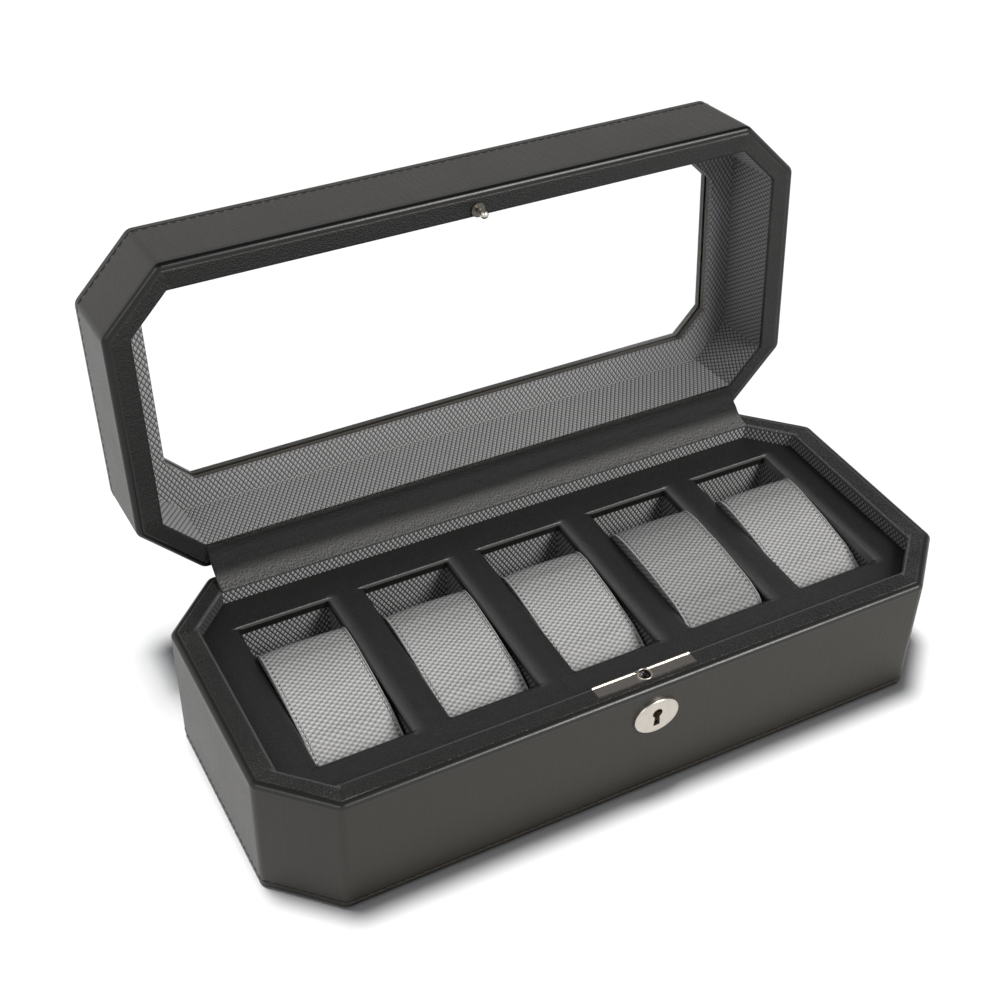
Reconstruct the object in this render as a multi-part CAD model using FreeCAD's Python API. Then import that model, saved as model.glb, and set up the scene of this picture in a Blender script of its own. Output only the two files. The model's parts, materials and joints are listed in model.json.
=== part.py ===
import FreeCAD, Part
import math
import os
from FreeCAD import Vector

# Leather-covered watch box, stored with its glazed lid open on the hinge stops.
# The origin is the middle of the underside, +X runs along the length to the right,
# the front with the lock faces -Y and +Z is up. All sizes are in millimetres.

# Case, outside
case_length = 340.0
case_width = 150.0
corner_cut = 27.0
base_height = 63.5
lid_height = 42.5
rim_gap = 2.0
open_angle = 95.5

# Walls, from the outside in
leather = 1.2
board = 10.0
corner_board = 8.2
lining = 0.8
wall_corner_radius = 5.0
outer_edge_radius = 2.4
inner_edge_radius = 0.8
bottom_turn_in = 14.0
floor_board = 4.0

# Tray with its openings, and the wells below them
tray_depth = 7.5
tray_leather = 1.0
tray_board = 3.0
tray_fit = 0.3
tray_end = 17.6
tray_side = 18.4
tray_bar = 17.2
opening_corner_radius = 1.4
opening_edge_radius = 1.0
well_setback = 1.0
well_lining = 0.8
well_board = 3.0
well_pad = 6.0

# Cuffs, one design stuffed and pushed in a little differently, from left to right
# (a sink is how far below the tray an untilted cuff's crown would lie)
cuff_side_gap = 1.4
strap_room = 14.2
cuff_sinks = (1.8, 2.8, 3.4, -3.2, 2.5)
cuff_tilts = (10.5, 8.5, 9.5, 4.5, 11.0)
cuff_crown_radius = 135.0
cuff_end_radius = 60.0
cuff_corner_radius = 8.0
cuff_drawn_in = 1.0
cuff_clearance = 0.3
cuff_sections = (-1.0, -0.7, 0.0, 0.7, 1.0)

# Window in the lid
window_end = 24.5
window_side = 25.5
window_cut = 13.3
window_edge_radius = 0.8
window_lining = 2.0
glass_bead = 2.5
glass = 2.0
lip_board = 2.3
glass_overlap = 5.0
glass_fit = 0.3

# Stop hinges under the strip
hinge_end = 48.0
hinge_out = 1.5
leaf_length = 32.0
leaf_depth = 10.5
leaf = 1.4
barrel_radius = 2.0
lid_knuckle = 11.0
knuckle_gap = 0.2
pin_radius = 1.0
pin_fit = 0.05
hinge_clearance = 0.4
heel_length = 6.0
heel = 1.5
heel_gap = 0.1
screw_spacing = 20.0
screw_radius = 1.0
screw_head_radius = 2.2
screw_length = 8.0

# Leather strip over both back rims
strip = 1.0
strip_overhang = 1.2
strip_end_gap = 2.0

# Lock in the front wall and the ball stud on the lid
strike_length = 48.5
strike_width = 6.4
strike_lip = 0.6
strike_lip_height = 0.5
strike_clearance = 0.9
stud_ball_radius = 2.0
stud_neck_radius = 1.1
stud_flange_radius = 3.3
stud_flange = 0.8
stud_shank_radius = 1.5
stud_shank = 7.0
case_drop = 27.5
case_sheet = 0.8
case_cover = 1.5
bolt = 0.8
bolt_fit = 0.2
bolt_length = 19.6
bolt_travel = 5.5
bolt_slot_fit = 0.3
bolt_end_room = 2.2
bolt_tail_inset = 6.0
bolt_tail_reach = 8.0
bolt_tail_drop = 19.5
bolt_talon_width = 6.0
bolt_talon_height = 4.0
keyhole_offset = 1.5
escutcheon_drop = 16.5
escutcheon_length = 22.0
escutcheon_width = 18.4
escutcheon = 1.5
escutcheon_edge_radius = 0.8
keyhole_rise = 2.0
keyhole_radius = 2.4
key_slot_width = 2.2
key_slot_flare = 0.5
key_slot_drop = 7.1
key_passage_radius = 6.0

# Places worked out from the sizes above
rim = leather + board + lining
corner_rim = leather + corner_board + lining
lid_rim_z = base_height + rim_gap
lid_top_z = lid_rim_z + lid_height
lip_z = lid_top_z - leather - lip_board
glass_z = lip_z - glass
rail_z = glass_z - glass_bead
ceiling_z = rail_z - window_lining
window_length = case_length - 2 * window_end
window_width = case_width - 2 * window_side
hinge_y = case_width / 2 + hinge_out
hinge_z = base_height + rim_gap / 2
floor_z = leather + floor_board
tray_z = base_height - tray_depth
tray_board_z = tray_z - tray_leather - tray_board
tray_length = case_length - 2 * (rim + tray_end)
well_count = len(cuff_sinks)
opening_length = (tray_length - (well_count - 1) * tray_bar) / well_count
opening_width = case_width - 2 * (rim + tray_side)
opening_pitch = opening_length + tray_bar
pad_z = floor_z + well_pad
well_x = opening_length / 2 + well_setback
well_y = opening_width / 2 + well_setback
well_centres = [(i - (well_count - 1) / 2) * opening_pitch for i in range(well_count)]
cuff_width = opening_length - 2 * cuff_side_gap
cuff_length = opening_width - strap_room
hinge_x = case_length / 2 - corner_cut - hinge_end
hinge_centres = (-hinge_x, hinge_x)
leaf_y = hinge_y - leaf_depth
screw_y = (leaf_y + hinge_y - barrel_radius - hinge_clearance) / 2
strike_y = -case_width / 2 + rim - strike_width / 2
case_y = -case_width / 2 + leather + case_cover
board_inner_y = -case_width / 2 + leather + board
bolt_z = base_height - leather - bolt_fit - bolt
bolt_y = case_y + case_sheet + bolt_fit
stud_ball_z = bolt_z - bolt_fit - math.sqrt(stud_ball_radius**2 - stud_neck_radius**2)
bolt_tip = -stud_ball_radius - 2 * bolt_fit
bolt_left = bolt_tip - bolt_length
bolt_tail_right = keyhole_offset + bolt_tail_reach
bolt_tail_z = base_height - bolt_tail_drop
case_left = bolt_left - bolt_end_room - case_sheet
case_right = bolt_tail_right + bolt_travel + bolt_end_room + case_sheet
case_bottom = base_height - case_drop
escutcheon_height = base_height - escutcheon_drop
keyhole_z = escutcheon_height + keyhole_rise

SIDES = ("front", "corner", "right", "corner", "back", "corner", "left", "corner")
X_AXIS = Vector(1, 0, 0)
Y_AXIS = Vector(0, 1, 0)
Z_AXIS = Vector(0, 0, 1)
nodes = {}


def octagon(length, width, cut):
    """Corner points of a rectangle with cut corners, from the front left one round."""
    a = length / 2
    b = width / 2
    quarter = [(a - cut, -b), (a, -b + cut), (a, b - cut), (a - cut, b)]
    points = [(-a + cut, -b)] + quarter + [(-x, y) for x, y in reversed(quarter[1:])]
    return [Vector(x, y, 0) for x, y in points]


def inset(side, corner=None):
    """The case outline moved in, by one amount on the sides and one on the cut corners."""
    corner = side if corner is None else corner
    cut = corner_cut + math.sqrt(2) * corner - 2 * side
    return octagon(case_length - 2 * side, case_width - 2 * side, cut)


def window(grown=0.0):
    """The window outline, grown by one amount on every side."""
    cut = window_cut + grown * (2 - math.sqrt(2))
    return octagon(window_length + 2 * grown, window_width + 2 * grown, cut)


def prism(points, low, high):
    face = Part.Face(Part.makePolygon(points + points[:1]))
    shape = face.extrude(Vector(0, 0, high - low))
    shape.translate(Vector(0, 0, low))
    return shape


def ring(outer, inner, low, high):
    return prism(outer, low, high).cut(prism(inner, low, high))


def box(x0, x1, y0, y1, z0, z1):
    return Part.makeBox(x1 - x0, y1 - y0, z1 - z0, Vector(x0, y0, z0))


def edges_at(shape, z):
    """Edges that lie flat at one height."""
    near = 1e-6
    flat = [e for e in shape.Edges if e.BoundBox.ZLength < near]
    return [e for e in flat if abs(e.BoundBox.ZMin - z) < near]


def upright_edges(shape):
    near = 1e-6
    return [e for e in shape.Edges if e.BoundBox.XLength < near and e.BoundBox.YLength < near]


def soft_prism(points, low, high):
    """A case half as the leather rounds it: soft upright corners and soft edges."""
    shape = prism(points, low, high)
    shape = shape.makeFillet(wall_corner_radius, upright_edges(shape))
    return shape.makeFillet(outer_edge_radius, edges_at(shape, low) + edges_at(shape, high))


def rim_opening(low, high, soft_z):
    """The mouth inside a rim, flared at one end by the radius of the rim's inner edge."""
    mouth = prism(inset(rim, corner_rim), low, high)
    solid = prism(inset(0), low, high).cut(mouth)
    inner = [e for e in edges_at(solid, soft_z) if not touches_outline(e)]
    return prism(inset(0), low, high).cut(solid.makeFillet(inner_edge_radius, inner))


def touches_outline(edge):
    """Whether a flat edge lies on the outside of the case."""
    outline = Part.makePolygon(inset(0) + inset(0)[:1])
    middle = edge.valueAt((edge.FirstParameter + edge.LastParameter) / 2)
    return outline.distToShape(Part.Vertex(middle.x, middle.y, 0))[0] < 1e-6


def wall_boards(outer, inner, low, high):
    """Eight mitred boards between two outlines, one for each side."""
    boards = []
    for i in range(8):
        j = (i + 1) % 8
        boards.append(prism([outer[i], outer[j], inner[j], inner[i]], low, high))
    return boards


def add_boards(name, boards):
    """Straight boards become nodes of their own, the four corner boards share one."""
    for side, shape in zip(SIDES, boards):
        if side != "corner":
            nodes[name.format(side)] = shape
    corners = [s for side, s in zip(SIDES, boards) if side == "corner"]
    nodes[name.format("corner") + "s"] = Part.makeCompound(corners)


def opened(shape):
    """A lid piece, modelled closed, turned open about the hinge axis."""
    turned = shape.copy()
    turned.rotate(Vector(0, hinge_y, hinge_z), X_AXIS, -open_angle)
    return turned


def barrel(x0, x1, radius):
    return Part.makeCylinder(radius, x1 - x0, Vector(x0, hinge_y, hinge_z), X_AXIS)


def screw(x, y, z, direction):
    """A countersunk screw with its head's face at z."""
    cone = Part.makeCone(screw_head_radius, screw_radius, leaf, Vector(x, y, z), direction)
    shank_start = Vector(x, y, z) + direction * leaf
    shank = Part.makeCylinder(screw_radius, screw_length - leaf, shank_start, direction)
    return cone.fuse(shank).removeSplitter()


def leaf_screws(x, z, direction):
    return [screw(x + s * screw_spacing / 2, screw_y, z, direction) for s in (-1, 1)]


def mortise(x, low, high):
    """The room that a rim leaves for one hinge leaf and its barrel."""
    half = leaf_length / 2
    seat = box(x - half, x + half, leaf_y, hinge_y, low, high)
    turn = barrel(x - half - hinge_clearance, x + half + hinge_clearance,
                  barrel_radius + hinge_clearance)
    return seat.fuse(turn)


def base_leaf(x):
    """Leaf in the base rim with a knuckle at each end, bored tight for the pin."""
    half = leaf_length / 2
    front = hinge_y - barrel_radius - hinge_clearance
    low = base_height - leaf
    shape = box(x - half, x + half, leaf_y, front, low, base_height)
    for x0, x1 in ((x - half, x - lid_knuckle / 2), (x + lid_knuckle / 2, x + half)):
        shape = shape.fuse(box(x0, x1, front, hinge_y, low, base_height))
        shape = shape.fuse(barrel(x0, x1, barrel_radius))
    shape = shape.cut(barrel(x - half, x + half, pin_radius))
    for piece in leaf_screws(x, base_height, -Z_AXIS):
        shape = shape.cut(piece)
    return shape.removeSplitter()


def lid_leaf(x):
    """Leaf in the lid rim with the middle knuckle and the heel that stops the lid."""
    half = leaf_length / 2
    knuckle = lid_knuckle / 2 - knuckle_gap
    front = hinge_y - barrel_radius - hinge_clearance
    high = lid_rim_z + leaf
    shape = box(x - half, x + half, leaf_y, front, lid_rim_z, high)
    shape = shape.fuse(box(x - knuckle, x + knuckle, front, hinge_y, lid_rim_z, high))
    shape = shape.fuse(barrel(x - knuckle, x + knuckle, barrel_radius))
    turn = math.radians(open_angle)
    heel_low = (heel_gap - hinge_out - heel_length * math.cos(turn)) / math.sin(turn)
    shape = shape.fuse(box(x - knuckle, x + knuckle, hinge_y, hinge_y + heel_length,
                           hinge_z + heel_low, hinge_z + heel_low + heel))
    shape = shape.cut(barrel(x - half, x + half, pin_radius + pin_fit))
    for piece in leaf_screws(x, lid_rim_z, Z_AXIS):
        shape = shape.cut(piece)
    return shape.removeSplitter()


def bend_radius(first, step):
    """Least radius of the strip's bend that keeps it clear of the hinge barrels.

    The bend's centre lies at first for no radius and moves by step for each millimetre of it.
    """
    room = strip + barrel_radius + hinge_clearance
    away = first - Vector(0, hinge_y, hinge_z)
    a = step.dot(step) - 1
    b = away.dot(step) - room
    c = away.dot(away) - room**2
    return (-b + math.sqrt(b * b - a * c)) / a


def strip_profile():
    """Section of the leather strip: along the base rim, round a hollow bend, up the lid rim."""
    lean = math.radians(open_angle - 90)
    up = Vector(0, math.sin(lean), math.cos(lean))
    out = Vector(0, -math.cos(lean), math.sin(lean))
    down = -Z_AXIS
    top = base_height + strip
    end = opened(Part.Vertex(0, case_width / 2 - rim, lid_rim_z)).Point
    face = end + out * strip
    first = face + up * ((top - face.z) / up.z)
    step = out + up * ((1 - out.z) / up.z)
    radius = bend_radius(first, step)
    centre = first + step * radius
    middle = (down - out).normalize()
    start_y = case_width / 2 - rim - strip_overhang
    corners = [
        Vector(0, start_y, base_height),
        centre + down * (radius + strip),
        centre - out * (radius + strip),
        end,
        face,
        centre - out * radius,
        centre + down * radius,
        Vector(0, start_y, top),
    ]
    bends = {1: centre + middle * (radius + strip), 5: centre + middle * radius}
    edges = []
    for i, point in enumerate(corners):
        following = corners[(i + 1) % len(corners)]
        if i in bends:
            edges.append(Part.Arc(point, bends[i], following).toShape())
        else:
            edges.append(Part.LineSegment(point, following).toShape())
    return Part.Wire(edges)


def cushion_outline(x, half_length, half_height):
    """A padded oval of eight tangent arcs: crowns, ends and the corners between them."""
    crown = Vector(x, 0, half_height - cuff_crown_radius)
    end = Vector(x, half_length - cuff_end_radius, 0)
    crown_reach = cuff_crown_radius - cuff_corner_radius
    end_reach = cuff_end_radius - cuff_corner_radius
    apart = end - crown
    along = (crown_reach**2 - end_reach**2 + apart.Length**2) / (2 * apart.Length)
    aside = math.sqrt(crown_reach**2 - along**2)
    unit = Vector(apart).normalize()
    corner = crown + unit * along + X_AXIS.cross(unit) * -aside
    if corner.y < 0 or corner.z < 0:
        corner = crown + unit * along + X_AXIS.cross(unit) * aside
    to_crown = (corner - crown).normalize()
    to_end = (corner - end).normalize()
    on_crown = crown + to_crown * cuff_crown_radius
    on_end = end + to_end * cuff_end_radius
    on_corner = corner + (to_crown + to_end).normalize() * cuff_corner_radius

    def mirrored(point, y_sign, z_sign):
        return Vector(point.x, point.y * y_sign, point.z * z_sign)

    top = Vector(x, 0, half_height)
    side = Vector(x, half_length, 0)
    arcs = []
    for y_sign, z_sign in ((1, 1), (1, -1), (-1, -1), (-1, 1)):
        first, last = (on_crown, on_end) if y_sign * z_sign > 0 else (on_end, on_crown)
        arcs.append([mirrored(p, y_sign, z_sign) for p in (first, on_corner, last)])
        if y_sign * z_sign > 0:
            arcs.append([mirrored(p, y_sign, z) for p, z in
                         ((on_end, z_sign), (side, 1), (on_end, -z_sign))])
        else:
            arcs.append([mirrored(p, y, z_sign) for p, y in
                         ((on_crown, y_sign), (top, 1), (on_crown, -y_sign))])
    return Part.Wire([Part.Arc(*points).toShape() for points in arcs])


def cuff(x, height, tilt):
    """A cushion lofted across its width, tilted, seated on the pad against the well's front."""
    outlines = []
    for share in cuff_sections:
        drawn = cuff_drawn_in * abs(share)**3
        outlines.append(cushion_outline(share * cuff_width / 2, cuff_length / 2 - drawn,
                                        height / 2 - drawn))
    shape = Part.makeLoft(outlines, True, False)
    shape.rotate(Vector(0, 0, 0), X_AXIS, tilt)
    size = shape.optimalBoundingBox()
    front = -opening_width / 2 + cuff_clearance
    low = pad_z + cuff_clearance
    shape.translate(Vector(x, front - size.YMin, low - size.ZMin))
    return shape


def keyhole(y0, y1, radius, slot_width):
    """A round hole with a slot below it that flares to its foot, cut through from front to back."""
    x = keyhole_offset
    hole = Part.makeCylinder(radius, y1 - y0, Vector(x, y0, keyhole_z), Y_AXIS)
    neck = slot_width / 2
    foot = neck + key_slot_flare
    low = keyhole_z - key_slot_drop
    corners = [Vector(x + across, y0, z) for across, z in
               ((-neck, keyhole_z), (neck, keyhole_z), (foot, low), (-foot, low))]
    slot = Part.Face(Part.makePolygon(corners + corners[:1])).extrude(Y_AXIS * (y1 - y0))
    return hole.fuse(slot)


def lock_pocket():
    return box(case_left, case_right, case_y, board_inner_y, case_bottom, base_height - leather)


def key_passage():
    """Round way for the key from the face of the case into the lock."""
    start = Vector(keyhole_offset, -case_width / 2, escutcheon_height)
    return Part.makeCylinder(key_passage_radius, leather + case_cover, start, Y_AXIS)


def strike_outline(z0, z1, lip=0.0):
    """The strike plate's outline, less a lip along each long edge."""
    half = strike_length / 2
    deep = strike_width / 2 - lip
    return box(-half, half, strike_y - deep, strike_y + deep, z0, z1)


def stud_shank_hole(length):
    return Part.makeCylinder(stud_shank_radius, length, Vector(0, strike_y, lid_rim_z), Z_AXIS)


def make_base_walls():
    low = leather
    high = base_height - leather
    boards = wall_boards(inset(leather), inset(leather + board, leather + corner_board), low, high)
    boards[0] = boards[0].cut(lock_pocket()).cut(key_passage())
    for x in hinge_centres:
        boards[4] = boards[4].cut(mortise(x, base_height - leaf, base_height))
        for piece in leaf_screws(x, base_height, -Z_AXIS):
            boards[4] = boards[4].cut(piece)
    add_boards("base_{}_board", boards)
    inner = inset(leather + board, leather + corner_board)
    nodes["base_floor"] = prism(inner, low, floor_z)
    nodes["base_lining"] = ring(inner, inset(rim, corner_rim), floor_z, high)
    nodes["base_bottom_cover"] = prism(inset(bottom_turn_in), 0, leather)


def make_base_leather():
    shape = soft_prism(inset(0), 0, base_height)
    shape = shape.cut(prism(inset(leather), leather, base_height - leather))
    shape = shape.cut(prism(inset(bottom_turn_in), 0, leather))
    shape = shape.cut(rim_opening(base_height - leather, base_height, base_height))
    shape = shape.cut(strike_outline(base_height - leather, base_height))
    shape = shape.cut(key_passage())
    for x in hinge_centres:
        shape = shape.cut(mortise(x, base_height - leaf, base_height))
    nodes["base_leather"] = shape


def make_tray():
    outline = inset(rim + tray_fit, corner_rim + tray_fit)
    plate = prism(outline, tray_board_z, tray_z - tray_leather)
    skin = prism(outline, tray_z - tray_leather, tray_z)
    half_x = opening_length / 2
    half_y = opening_width / 2
    for x in well_centres:
        hole = box(x - half_x - tray_leather, x + half_x + tray_leather, -half_y - tray_leather,
                   half_y + tray_leather, tray_board_z, tray_z)
        plate = plate.cut(hole)
        skin = skin.fuse(hole)
    for x in well_centres:
        hole = box(x - half_x, x + half_x, -half_y, half_y, tray_board_z, tray_z)
        skin = skin.cut(hole.makeFillet(opening_corner_radius, upright_edges(hole)))
    skin = skin.removeSplitter()
    edge_y = half_y + tray_leather
    soft = [e for e in edges_at(skin, tray_z) if abs(e.CenterOfMass.y) < edge_y
            and abs(e.CenterOfMass.x) < well_centres[-1] + half_x + tray_leather]
    nodes["tray_board"] = plate
    nodes["tray_leather"] = skin.makeFillet(opening_edge_radius, soft)


def make_wells():
    outer_x = well_x + well_lining
    outer_y = well_y + well_lining
    reach = well_centres[-1] + outer_x + well_board
    for name, y0 in (("front", -outer_y - well_board), ("back", outer_y)):
        nodes[f"well_{name}_board"] = box(-reach, reach, y0, y0 + well_board, floor_z, tray_board_z)
    sides = []
    linings = []
    pads = []
    for x in well_centres:
        for x0 in (x - outer_x - well_board, x + outer_x):
            sides.append(box(x0, x0 + well_board, -outer_y, outer_y, floor_z, tray_board_z))
        room = box(x - well_x, x + well_x, -well_y, well_y, floor_z, tray_board_z)
        skin = box(x - outer_x, x + outer_x, -outer_y, outer_y, floor_z, tray_board_z)
        linings.append(skin.cut(room))
        pads.append(box(x - well_x, x + well_x, -well_y, well_y, floor_z, pad_z))
    nodes["well_side_boards"] = Part.makeCompound(sides)
    nodes["well_linings"] = Part.makeCompound(linings)
    nodes["well_pads"] = Part.makeCompound(pads)


def make_cuffs():
    for i, x in enumerate(well_centres):
        nodes[f"cuff_{i + 1}"] = cuff(x, tray_z - pad_z - cuff_sinks[i], cuff_tilts[i])


def make_lock():
    top = base_height + strike_lip_height
    plate = strike_outline(base_height - leather, top)
    plate = plate.cut(strike_outline(base_height, top, strike_lip))
    radius = stud_ball_radius + strike_clearance
    hole = Part.makeCylinder(radius, top, Vector(0, strike_y, 0), Z_AXIS)
    nodes["strike_plate"] = plate.cut(hole)

    cover = lock_pocket()
    room = box(case_left + case_sheet, case_right - case_sheet, case_y + case_sheet, board_inner_y,
               case_bottom + case_sheet, base_height - leather)
    cover = cover.cut(room)
    cover = cover.cut(keyhole(case_y, case_y + case_sheet, keyhole_radius, key_slot_width))
    nodes["lock_case"] = cover

    face_y = -case_width / 2
    centre = Vector(keyhole_offset, face_y, escutcheon_height)
    oval = Part.Ellipse(Vector(0, 0, 0), escutcheon_length / 2, escutcheon_width / 2)
    disc = Part.Face(Part.Wire(oval.toShape()))
    disc.rotate(Vector(0, 0, 0), X_AXIS, 90)
    disc.translate(centre)
    disc = disc.extrude(-Y_AXIS * escutcheon)
    front = [e for e in disc.Edges if abs(e.BoundBox.YMax - face_y + escutcheon) < 1e-6]
    disc = disc.makeFillet(escutcheon_edge_radius, front)
    disc = disc.cut(keyhole(face_y - escutcheon, face_y, keyhole_radius, key_slot_width))
    nodes["escutcheon"] = disc


def make_bolt():
    """A forked plate that slides under the stud's ball, with a tail for the key to push."""
    high = bolt_z + bolt
    plate = box(bolt_left, bolt_tip, bolt_y, board_inner_y - bolt_fit, bolt_z, high)
    half_slot = stud_neck_radius + bolt_slot_fit
    plate = plate.cut(box(-bolt_travel - half_slot, bolt_tip, strike_y - half_slot,
                          strike_y + half_slot, bolt_z, high))
    tail = box(bolt_left + bolt_tail_inset, bolt_tail_right, bolt_y, bolt_y + bolt, bolt_tail_z,
               bolt_z)
    talon = keyhole_offset - bolt_travel / 2
    tail = tail.cut(box(talon - bolt_talon_width / 2, talon + bolt_talon_width / 2, bolt_y,
                        bolt_y + bolt, bolt_tail_z, bolt_tail_z + bolt_talon_height))
    nodes["lock_bolt"] = plate.fuse(tail).removeSplitter()


def make_hinges():
    nodes["hinge_base_leaves"] = Part.makeCompound([base_leaf(x) for x in hinge_centres])
    nodes["hinge_lid_leaves"] = opened(Part.makeCompound([lid_leaf(x) for x in hinge_centres]))
    half = leaf_length / 2
    nodes["hinge_pins"] = Part.makeCompound([barrel(x - half, x + half, pin_radius)
                                             for x in hinge_centres])
    fixed = [s for x in hinge_centres for s in leaf_screws(x, base_height, -Z_AXIS)]
    moving = [s for x in hinge_centres for s in leaf_screws(x, lid_rim_z, Z_AXIS)]
    nodes["hinge_base_screws"] = Part.makeCompound(fixed)
    nodes["hinge_lid_screws"] = opened(Part.makeCompound(moving))


def make_strip():
    length = case_length - 2 * corner_cut - 2 * strip_end_gap
    shape = Part.Face(strip_profile()).extrude(X_AXIS * length)
    shape.translate(Vector(-length / 2, 0, 0))
    nodes["hinge_strip"] = shape


def make_lid_walls():
    inner = inset(leather + board, leather + corner_board)
    boards = wall_boards(inset(leather), inner, lid_rim_z + leather, rail_z)
    boards[0] = boards[0].cut(stud_shank_hole(stud_shank))
    for x in hinge_centres:
        boards[4] = boards[4].cut(mortise(x, lid_rim_z, lid_rim_z + leaf))
        for piece in leaf_screws(x, lid_rim_z, Z_AXIS):
            boards[4] = boards[4].cut(piece)
    add_boards("lid_{}_board", [opened(s) for s in boards])

    lower = wall_boards(inset(leather), window(glass_overlap), rail_z, lip_z)
    upper = wall_boards(inset(leather), window(leather), lip_z, lid_top_z - leather)
    rails = [low.fuse(high).removeSplitter() for low, high in zip(lower, upper)]
    add_boards("lid_{}_rail", [opened(s) for s in rails])
    nodes["lid_lining"] = opened(ring(inner, inset(rim, corner_rim), lid_rim_z + leather, rail_z))


def make_lid_leather():
    shape = soft_prism(inset(0), lid_rim_z, lid_top_z)
    shape = shape.cut(prism(inset(leather), lid_rim_z + leather, lid_top_z - leather))
    shape = shape.cut(rim_opening(lid_rim_z, lid_rim_z + leather, lid_rim_z))
    shape = shape.fuse(prism(window(leather), lip_z, lid_top_z))
    shape = shape.cut(prism(window(), lip_z, lid_top_z)).removeSplitter()
    soft = [e for e in edges_at(shape, lid_top_z) if abs(e.CenterOfMass.x) <= window_length / 2
            and abs(e.CenterOfMass.y) <= window_width / 2]
    shape = shape.makeFillet(window_edge_radius, soft)
    shape = shape.cut(stud_shank_hole(leather))
    for x in hinge_centres:
        shape = shape.cut(mortise(x, lid_rim_z, lid_rim_z + leaf))
    nodes["lid_leather"] = opened(shape)


def make_window():
    held = glass_overlap - glass_fit
    frame = ring(inset(rim, corner_rim), window(), ceiling_z, rail_z)
    nodes["window_lining"] = opened(frame)
    nodes["glass_bead"] = opened(ring(window(held), window(), rail_z, glass_z))
    nodes["glass_pane"] = opened(prism(window(held), glass_z, lip_z))


def make_stud():
    """A turned stud: shank in the board, flange on the leather, neck and ball."""
    foot = lid_rim_z - stud_flange
    start = Vector(0, strike_y, foot)
    flange = Part.makeCylinder(stud_flange_radius, stud_flange, start, Z_AXIS)
    neck = Part.makeCylinder(stud_neck_radius, foot - stud_ball_z,
                             Vector(0, strike_y, stud_ball_z), Z_AXIS)
    ball = Part.makeSphere(stud_ball_radius, Vector(0, strike_y, stud_ball_z))
    shape = flange.fuse(neck).fuse(ball).fuse(stud_shank_hole(stud_shank))
    nodes["catch_stud"] = opened(shape.removeSplitter())


for make in (make_base_walls, make_base_leather, make_tray, make_wells, make_cuffs, make_lock,
             make_bolt, make_hinges, make_strip, make_lid_walls, make_lid_leather, make_window,
             make_stud):
    make()

os.makedirs("parts", exist_ok=True)
for name, shape in nodes.items():
    shape.exportStep(f"parts/{name}.step")
    print(name, len(shape.Solids), "solids, valid", shape.isValid(), round(shape.Volume))
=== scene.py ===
"""Finishes a watch box: leather covers, woven linings, stuffed cuffs, stitching, lock and glass, in a studio."""

import json
import math
from functools import partialmethod

import bmesh
import bpy
import numpy as np
from bpy.props import FloatProperty, FloatVectorProperty, IntProperty, PointerProperty
from bpy.types import Operator, Panel, PropertyGroup
from mathutils import Matrix, Vector, noise


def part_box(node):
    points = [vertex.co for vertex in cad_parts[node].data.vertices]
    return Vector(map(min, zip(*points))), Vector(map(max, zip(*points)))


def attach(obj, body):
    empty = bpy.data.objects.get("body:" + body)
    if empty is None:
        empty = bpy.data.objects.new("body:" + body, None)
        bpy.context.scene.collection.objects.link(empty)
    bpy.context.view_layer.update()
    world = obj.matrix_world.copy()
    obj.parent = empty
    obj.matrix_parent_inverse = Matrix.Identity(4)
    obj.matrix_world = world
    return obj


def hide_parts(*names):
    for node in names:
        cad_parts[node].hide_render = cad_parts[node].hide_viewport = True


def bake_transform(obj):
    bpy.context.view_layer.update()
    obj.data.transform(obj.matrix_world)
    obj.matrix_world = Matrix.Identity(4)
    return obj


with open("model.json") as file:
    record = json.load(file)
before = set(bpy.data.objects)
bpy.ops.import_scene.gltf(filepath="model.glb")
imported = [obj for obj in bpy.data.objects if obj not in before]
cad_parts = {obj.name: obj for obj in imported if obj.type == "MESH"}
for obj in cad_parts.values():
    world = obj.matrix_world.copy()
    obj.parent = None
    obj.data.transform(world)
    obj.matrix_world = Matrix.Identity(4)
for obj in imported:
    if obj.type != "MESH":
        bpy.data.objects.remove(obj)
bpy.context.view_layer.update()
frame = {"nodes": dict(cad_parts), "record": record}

bl_info = {
    "name": "Watch box",
    "version": (1, 0, 0),
    "blender": (4, 5, 0),
    "location": "3D View > Sidebar > Watch box",
    "description": "Dresses a watch box with leather, woven linings, stuffed cuffs, stitching, lock and glass",
    "category": "Object",
}

_, CASE_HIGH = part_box("base_leather")
STRIP_LOW, STRIP_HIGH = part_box("hinge_strip")
LID_HINGE = next(j for j in frame["record"]["behaviour"]["joints"] if j["name"] == "lid_hinge")
HINGE_PLACE = Vector(LID_HINGE["pos_m"])
OPEN_ANGLE = math.radians(LID_HINGE["range_deg"][1])
CUFFS = sorted(name for name in frame["record"]["behaviour"]["bodies"] if name.startswith("cuff_"))

# Places in millimetres from the middle of the box, between which a painted shade or a painted sheen comes in: painted
# shade towards the right of the base's rim and of the lid's lining, and painted sheen on the front of the strip.
RIM_PAINTED_SHADE, LID_LINING_PAINTED_SHADE, STRIP_PAINTED_SHEEN_ENDS = (20.0, 160.0), (30.0, 165.0), (65.0, 72.0)

# Turns a point of the closed lid to where the open lid has it.
LID_OPENS = (Matrix.Translation(HINGE_PLACE) @ Matrix.Rotation(-OPEN_ANGLE, 4, "X")
             @ Matrix.Translation(-HINGE_PLACE))
LID_CLOSES = LID_OPENS.inverted()


def kind_of(prop, **fixed):
    """A short way to declare properties of one kind."""
    return lambda name, default, description: prop(name=name, default=default, description=description, **fixed)


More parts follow.
